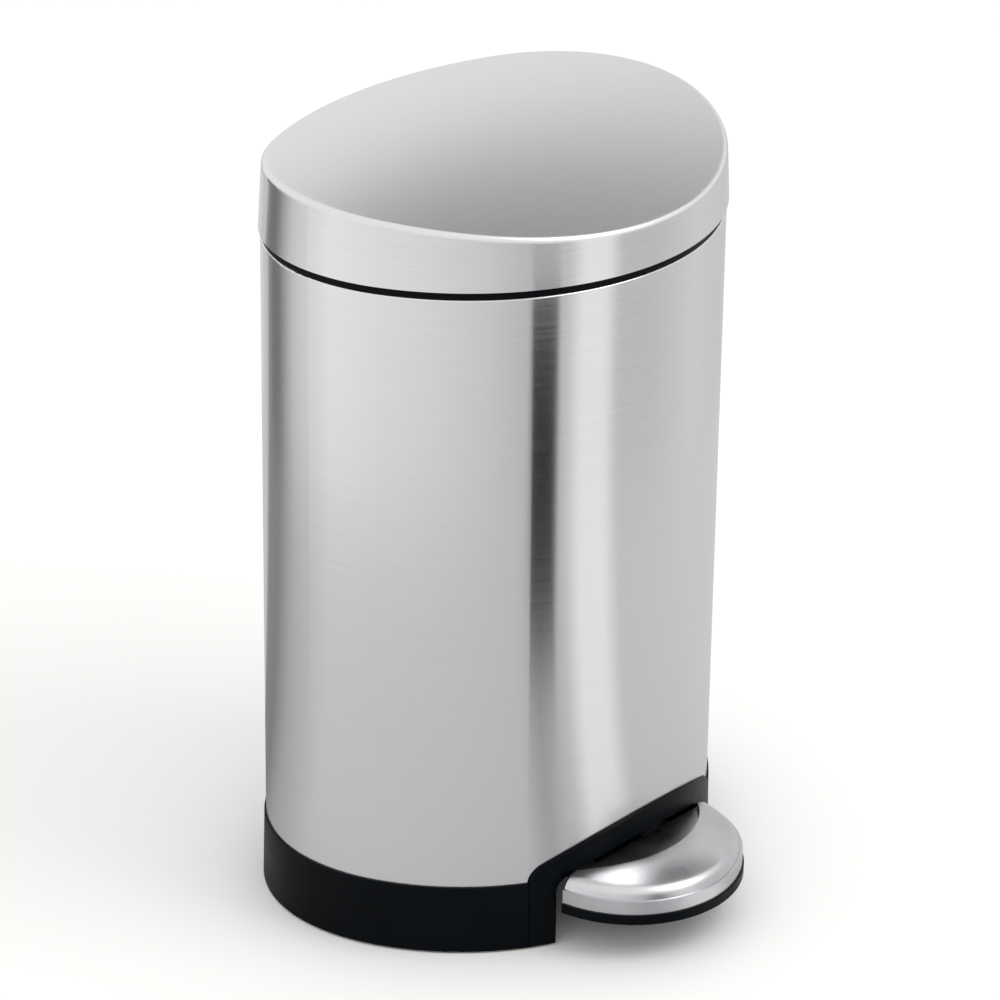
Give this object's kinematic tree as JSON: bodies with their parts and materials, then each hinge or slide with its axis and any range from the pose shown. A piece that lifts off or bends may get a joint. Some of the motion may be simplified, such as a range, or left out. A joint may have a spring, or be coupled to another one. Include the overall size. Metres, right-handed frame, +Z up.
{
  "type": "pedal bin",
  "caption": "Semi-round brushed steel pedal bin with a hinged lid, black base, lever pedal, push rod and lift-out inner bucket.",
  "frame": {"origin": "on the floor, under the middle of the overall plan box", "axes": "+Z up, -Y towards the pedal, +X to the right seen from behind the pedal looking at the back"},
  "size_m": [0.2532, 0.246, 0.3944],
  "materials": {
    "brushed_steel": "brushed",
    "polished_steel": "satin",
    "zinc_steel": "plain",
    "black_plastic": "satin",
    "bucket_plastic": "satin",
    "white_nylon": "plain",
    "black_rubber": "matt"
  },
  "bodies": {
    "bin_body": {"body_shell": "brushed_steel", "rim_collar": "black_plastic", "base_moulding": "black_plastic", "pedal_surround": "black_plastic", "rubber_feet": "black_rubber", "hinge_bracket": "zinc_steel", "bracket_rivets": "zinc_steel", "hinge_cover": "black_plastic", "hinge_pin": "zinc_steel", "pin_clips": "zinc_steel", "lever_axle": "zinc_steel", "axle_clips": "zinc_steel", "rod_guide": "black_plastic", "guide_screws": "zinc_steel", "inner_bucket": "bucket_plastic", "lid_bumpers": "black_rubber"},
    "pedal": {"pedal_lever": "zinc_steel", "lever_bushes": "white_nylon", "lever_roller": "white_nylon", "pedal_cap": "polished_steel", "pedal_pad": "black_plastic", "pedal_rivets": "zinc_steel"},
    "rod": {"push_rod": "zinc_steel", "rod_foot": "white_nylon", "rod_yoke": "white_nylon"},
    "lid": {"lid_shell": "brushed_steel", "lid_liner": "black_plastic", "lid_arm": "zinc_steel", "crank_pin": "zinc_steel", "lid_screws": "zinc_steel"}
  },
  "joints": [
    {"name": "pedal_tilt", "type": "hinge", "parent": "bin_body", "child": "pedal", "pos_m": [0, -0.0155, 0.018], "axis": [1, 0, 0], "range_deg": [0, 8.34]},
    {"name": "rod_slide", "type": "slide", "parent": "bin_body", "child": "rod", "axis": [0, 0, 1], "range_m": [0, 0.01662]},
    {"name": "lid_hinge", "type": "hinge", "parent": "bin_body", "child": "lid", "pos_m": [0, 0.1105, 0.362], "axis": [-1, 0, 0], "range_deg": [0, 76]}
  ],
  "couplings": [
    {"joint": "rod_slide", "follows": "pedal_tilt", "m_per_rad": 0.11423},
    {"joint": "lid_hinge", "follows": "pedal_tilt", "ratio": 9.117}
  ]
}
